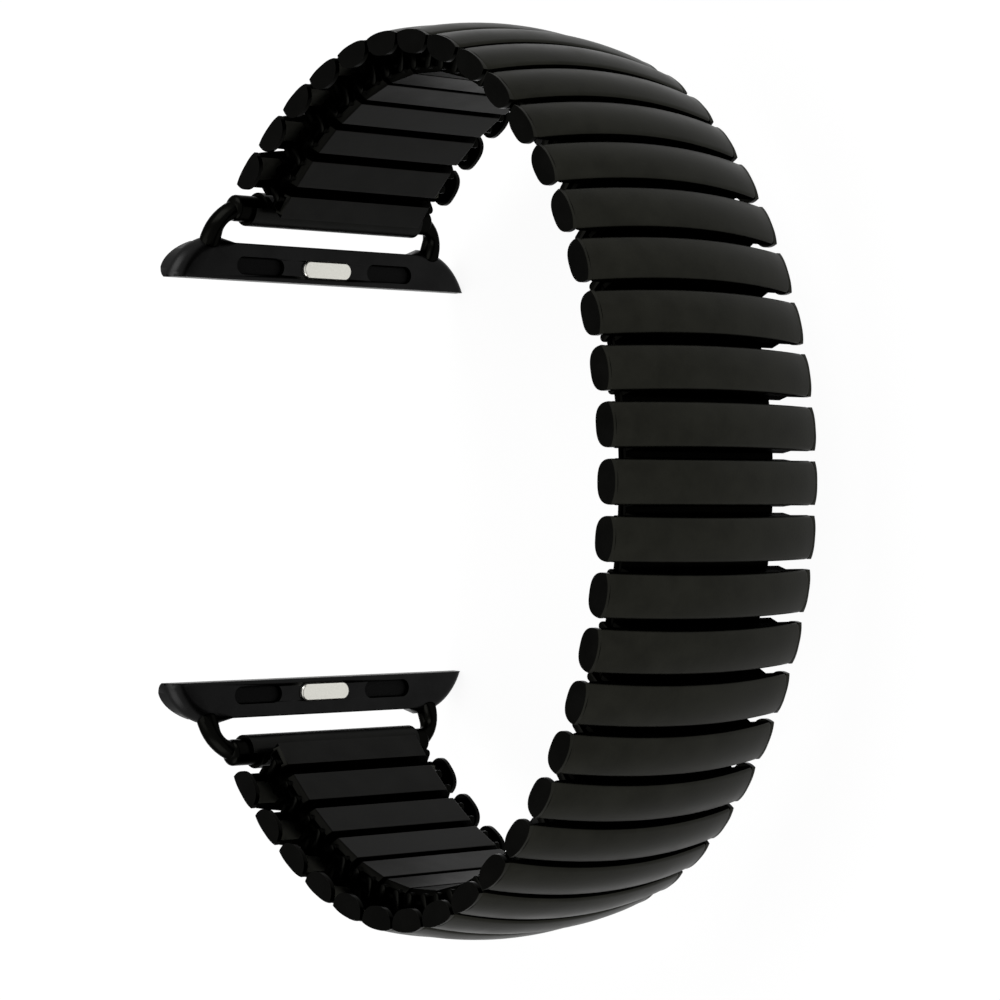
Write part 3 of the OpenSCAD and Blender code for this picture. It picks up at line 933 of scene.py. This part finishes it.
def put(tree, node, inputs):
    """Links or sets a node's inputs."""
    for socket, value in inputs.items():
        if isinstance(value, bpy.types.NodeSocket):
            tree.links.new(value, node.inputs[socket])
        else:
            node.inputs[socket].default_value = value


def add(tree, kind, inputs=None, **settings):
    """Adds a node with its settings, and links or sets its inputs."""
    node = tree.nodes.new(kind)
    for name, value in settings.items():
        setattr(node, name, value)
    put(tree, node, inputs or {})
    return node


def started(name):
    """A new material and its shader, or one made before and None."""
    found = bpy.data.materials.get(name)
    if found:
        return found, None
    material = bpy.data.materials.new(name)
    material.use_nodes = True
    return material, next(n for n in material.node_tree.nodes if n.type == "BSDF_PRINCIPLED")


def plated(name, colour, roughness, grain, edge_tint):
    """Black plating over blasted steel. The eye sees an even, nearly black skin with a dull sheen, a fine
    grain in that sheen, and faint clouds from handling."""
    material, shader = started(name)
    if shader is None:
        return material
    tree = material.node_tree
    space = add(tree, "ShaderNodeTexCoord").outputs["Object"]
    # grit of 0.06 mm, drawn at 0.15 mm so that it shows
    fine = add(tree, "ShaderNodeTexNoise", {"Vector": space, "Scale": 1 / (0.15 * MM), "Detail": 3.0})
    # clouds 2.5 mm across
    cloud = add(tree, "ShaderNodeTexNoise", {
        "Vector": space, "Scale": 1 / (2.5 * MM), "Detail": 4.0, "Roughness": 0.6}).outputs["Fac"]
    shade = add(tree, "ShaderNodeMapRange", {
        "Value": cloud, "From Min": 0.35, "From Max": 0.65, "To Min": 0.85, "To Max": 1.13})
    base = add(tree, "ShaderNodeMix", {
        "Factor": 1.0, MIX_A: (*colour, 1), MIX_B: shade.outputs["Result"]},
        data_type="RGBA", blend_type="MULTIPLY")
    rough = add(tree, "ShaderNodeMapRange", {
        "Value": cloud, "From Min": 0.3, "From Max": 0.7,
        "To Min": roughness - 0.04, "To Max": roughness + 0.04})
    bump = add(tree, "ShaderNodeBump", {
        "Height": fine.outputs["Fac"], "Strength": grain, "Distance": 0.02 * MM})
    put(tree, shader, {
        "Base Color": base.outputs[MIX_OUT], "Roughness": rough.outputs["Result"],
        "Normal": bump.outputs["Normal"], "Metallic": 1,
        "Specular Tint": (edge_tint, edge_tint, edge_tint, 1)})
    return material


def shell_plating(context):
    """Outside of the shells: a satin skin whose broad sheen looks olive grey."""
    return plated("black_plated_steel_satin", context.scene.bracelet_finish.shell, 0.38, 0.25, 0.75)


def painted_shade_tab_plating(context):
    """Rolled ends and tabs: smoother, and nearly black as painted shade on the ends of the shells' sheet,
    with narrow reflections at their edges.
    """
    return plated("black_plated_steel_rolled_painted_shade", context.scene.bracelet_finish.tab, 0.2, 0.08, 0.6)


def sleeve_plating(context):
    """Wrist side: a satin skin like the shells', darker and without their olive tint."""
    return plated("black_plated_steel_sleeve", context.scene.bracelet_finish.sleeve, 0.36, 0.2, 0.68)


def painted_shade_plating(context):
    """Walls, rims and the works inside: a dull near-black skin with little sheen, painted shade that keeps
    them black in the gaps of the band.
    """
    return plated("black_plated_steel_painted_shade", context.scene.bracelet_finish.tab, 0.5, 0.2, 0.2)


def painted_light_inside(context):
    """Inner faces of the shells: a dull dark grey, paler than the outside, painted light that stands in for
    the light falling into the crown.
    """
    return plated("black_plated_steel_painted_light_inside", context.scene.bracelet_finish.inside, 0.55, 0.2, 0.5)


def connector_plating(context):
    """Machined bodies of the connectors: a fine grained, neutral black satin."""
    return plated("black_plated_steel_machined", context.scene.bracelet_finish.connector, 0.32, 0.15, 0.6)


def painted_shade_wire_steel(context):
    """Drawn wire and rod, and the connectors' arms: smooth, and nearly black as painted shade, with a soft
    line of light along it.
    """
    return plated("black_plated_steel_wire_painted_shade", context.scene.bracelet_finish.tab, 0.25, 0.1, 0.5)


def spring_steel(context):
    """Rolled spring steel strip, bare: a grey metal with fine lines along its rolling direction."""
    material, shader = started("spring_steel_strip")
    if shader is None:
        return material
    tree = material.node_tree
    space = add(tree, "ShaderNodeTexCoord").outputs["Object"]
    run = add(tree, "ShaderNodeMapping", {"Vector": space, "Scale": (1, 1, 0.06)})
    # rolling lines of a few hundredths of a millimetre, drawn 0.12 mm apart so that they show
    lines = add(tree, "ShaderNodeTexNoise", {
        "Vector": run.outputs["Vector"], "Scale": 1 / (0.12 * MM), "Detail": 2.0}).outputs["Fac"]
    rough = add(tree, "ShaderNodeMapRange", {"Value": lines, "To Min": 0.25, "To Max": 0.45})
    bump = add(tree, "ShaderNodeBump", {"Height": lines, "Strength": 0.2, "Distance": 0.01 * MM})
    put(tree, shader, {
        "Base Color": (*context.scene.bracelet_finish.spring, 1), "Metallic": 1,
        "Roughness": rough.outputs["Result"], "Normal": bump.outputs["Normal"]})
    return material


def bright_steel(context):
    """Bare stainless steel, finely blasted: pale, matt and slightly warm, with no clear reflections."""
    material, shader = started("stainless_steel_blasted")
    if shader is None:
        return material
    tree = material.node_tree
    space = add(tree, "ShaderNodeTexCoord").outputs["Object"]
    # grit of 0.06 mm, drawn at 0.12 mm so that it shows
    grit = add(tree, "ShaderNodeTexNoise", {
        "Vector": space, "Scale": 1 / (0.12 * MM), "Detail": 3.0}).outputs["Fac"]
    shade = add(tree, "ShaderNodeMapRange", {
        "Value": grit, "From Min": 0.3, "From Max": 0.7, "To Min": 0.95, "To Max": 1.03})
    base = add(tree, "ShaderNodeMix", {
        "Factor": 1.0, MIX_A: (*context.scene.bracelet_finish.steel, 1), MIX_B: shade.outputs["Result"]},
        data_type="RGBA", blend_type="MULTIPLY")
    bump = add(tree, "ShaderNodeBump", {"Height": grit, "Strength": 0.25, "Distance": 0.02 * MM})
    put(tree, shader, {
        "Base Color": base.outputs[MIX_OUT], "Metallic": 1, "Roughness": 0.3,
        "Normal": bump.outputs["Normal"]})
    return material


def pad_rubber(context):
    """Moulded rubber: black and matt, with a soft sheen and a fine moulded grain."""
    material, shader = started("rubber_moulded")
    if shader is None:
        return material
    tree = material.node_tree
    space = add(tree, "ShaderNodeTexCoord").outputs["Object"]
    # the mould's grain of 0.05 mm, drawn at 0.15 mm so that it shows
    grain = add(tree, "ShaderNodeTexNoise", {
        "Vector": space, "Scale": 1 / (0.15 * MM), "Detail": 2.0}).outputs["Fac"]
    rough = add(tree, "ShaderNodeMapRange", {"Value": grain, "To Min": 0.45, "To Max": 0.6})
    bump = add(tree, "ShaderNodeBump", {"Height": grain, "Strength": 0.3, "Distance": 0.02 * MM})
    put(tree, shader, {
        "Base Color": (*context.scene.bracelet_finish.rubber, 1), "Specular IOR Level": 0.04,
        "Roughness": rough.outputs["Result"], "Normal": bump.outputs["Normal"]})
    return material


# Stage

# the camera's heading, tilt and roll in degrees, its distance in millimetres, and the point it looks at
YAW, PITCH, ROLL, DISTANCE = 42.985, 0.193, -0.318, 234.397
AIM = Vector((-20.108, -1.262, 14.199))
LENS, SENSOR, CLIP_START = 122.4, 36, 0.01
PAPER = "#e7e7e7"
# the world's strength on the object, and how white the floor is to the camera
WORLD_LIGHT, FLOOR_WHITE = 0.8, 0.9
# name, place and size in metres, and power in watts of each lamp, and the point that they face
LAMPS = (
    ("lamp_top", (0.02, 0.34, 0.26), (0.34, 0.22), 1.3),
    ("lamp_bottom", (0.02, -0.34, 0.24), (0.34, 0.22), 0.8),
    ("lamp_over", (-0.12, 0.0, 0.42), (0.3, 0.3), 0.7),
)
LAMP_TARGET = Vector((0, 0, 0.014))


def seen_white(tree):
    """1 for the camera and for what is mirrored or seen through, and 0 for light on the object."""
    path = add(tree, "ShaderNodeLightPath").outputs
    straight = add(tree, "ShaderNodeMath", {
        0: path["Is Camera Ray"], 1: path["Is Glossy Ray"]}, operation="MAXIMUM")
    both = add(tree, "ShaderNodeMath", {
        0: straight.outputs[0], 1: path["Is Transmission Ray"]}, operation="MAXIMUM")
    return both.outputs[0]


def camera():
    """Camera at the photograph's viewing angle."""
    turn = Matrix.Rotation(math.radians(ROLL), 3, "Z") @ Matrix.Rotation(math.radians(PITCH), 3, "X")
    yaw = math.radians(YAW)
    right = turn @ Vector((math.sin(yaw), 0, math.cos(yaw)))
    up = turn @ Vector((0, 1, 0))
    ahead = turn @ Vector((math.cos(yaw), 0, -math.sin(yaw)))
    axes = Matrix((right, up, -ahead))
    place = (AIM + Vector((ring_x(), 0, 0)) + DISTANCE * axes.col[2]) * MM
    view = bpy.data.cameras.new("camera")
    view.lens, view.sensor_width, view.clip_start = LENS, SENSOR, CLIP_START
    made = bpy.data.objects.new("camera", view)
    bpy.context.scene.collection.objects.link(made)
    made.matrix_world = Matrix.Translation(place) @ axes.to_4x4()
    bpy.context.scene.camera = made


def floor():
    """Pale paper that the camera sees as white and that still takes the object's shadow."""
    bm = bmesh.new()
    bmesh.ops.create_grid(bm, x_segments=1, y_segments=1, size=2)
    mesh = bpy.data.meshes.new("floor")
    bm.to_mesh(mesh)
    bm.free()
    made = bpy.data.objects.new("floor", mesh)
    bpy.context.scene.collection.objects.link(made)
    material = bpy.data.materials.new("floor_paper")
    material.use_nodes = True
    tree = material.node_tree
    tree.nodes.clear()
    paper = add(tree, "ShaderNodeBsdfDiffuse", {"Color": (*linear(PAPER), 1)})
    glow = add(tree, "ShaderNodeEmission", {"Color": (1, 1, 1, 1), "Strength": 1.0})
    share = add(tree, "ShaderNodeMath", {0: seen_white(tree), 1: FLOOR_WHITE}, operation="MULTIPLY")
    mixed = add(tree, "ShaderNodeMixShader", {0: share.outputs[0], 1: paper.outputs[0], 2: glow.outputs[0]})
    add(tree, "ShaderNodeOutputMaterial", {"Surface": mixed.outputs[0]})
    mesh.materials.append(material)


def world():
    """Even white surroundings, a little weaker on the object than they look."""
    made = bpy.data.worlds.new("world")
    bpy.context.scene.world = made
    made.use_nodes = True
    tree = made.node_tree
    tree.nodes.clear()
    strength = add(tree, "ShaderNodeMapRange", {
        "Value": seen_white(tree), "To Min": WORLD_LIGHT, "To Max": 1.0})
    sky = add(tree, "ShaderNodeBackground", {
        "Color": (1, 1, 1, 1), "Strength": strength.outputs["Result"]})
    add(tree, "ShaderNodeOutputWorld", {"Surface": sky.outputs[0]})


def lamp(name, place, size, power):
    """Soft rectangular lamp that faces the object."""
    light = bpy.data.lights.new(name, "AREA")
    light.shape, light.size, light.size_y = "RECTANGLE", *size
    light.energy = power
    made = bpy.data.objects.new(name, light)
    bpy.context.scene.collection.objects.link(made)
    made.location = place
    made.rotation_euler = (LAMP_TARGET - Vector(place)).to_track_quat("-Z", "Y").to_euler()


class BRACELET_OT_stage(Operator):
    """Sets the camera at the photograph's angle, the pale floor, the world and soft lamps"""

    bl_idname = "bracelet.stage"
    bl_label = "Stage"

    def execute(self, context):
        context.scene.view_settings.view_transform = "Standard"
        camera()
        floor()
        world()
        for settings in LAMPS:
            lamp(*settings)
        return {"FINISHED"}


# Panel

STEPS = ("stage", "shells", "inner_sleeves", "works", "end_links", "connectors", "catches")
GROUPS = {
    "bracelet_shell": ShellSizes,
    "bracelet_sleeve": SleeveSizes,
    "bracelet_connector": ConnectorSizes,
    "bracelet_finish": Finishes,
}


class BRACELET_PT_panel(Panel):
    """Lists the bracelet's sizes, finishes and steps"""

    bl_label = "Bracelet"
    bl_idname = "BRACELET_PT_panel"
    bl_space_type = "VIEW_3D"
    bl_region_type = "UI"
    bl_category = "Bracelet"

    def draw(self, context):
        for key in GROUPS:
            group, box = getattr(context.scene, key), self.layout.box()
            for name in group.__annotations__:
                box.prop(group, name)
        for step in STEPS:
            self.layout.operator("bracelet." + step)


CLASSES = (
    ShellSizes, SleeveSizes, ConnectorSizes, Finishes,
    BRACELET_OT_stage, BRACELET_OT_shells, BRACELET_OT_inner_sleeves, BRACELET_OT_works,
    BRACELET_OT_end_links, BRACELET_OT_connectors, BRACELET_OT_catches, BRACELET_PT_panel,
)


def register():
    for one in CLASSES:
        bpy.utils.register_class(one)
    for name, group in GROUPS.items():
        setattr(bpy.types.Scene, name, PointerProperty(type=group))


def unregister():
    for name in GROUPS:
        delattr(bpy.types.Scene, name)
    for one in reversed(CLASSES):
        bpy.utils.unregister_class(one)


def main():
    register()
    for step in STEPS:
        getattr(bpy.ops.bracelet, step)()
    bpy.context.view_layer.update()


if __name__ == "__main__":
    main()
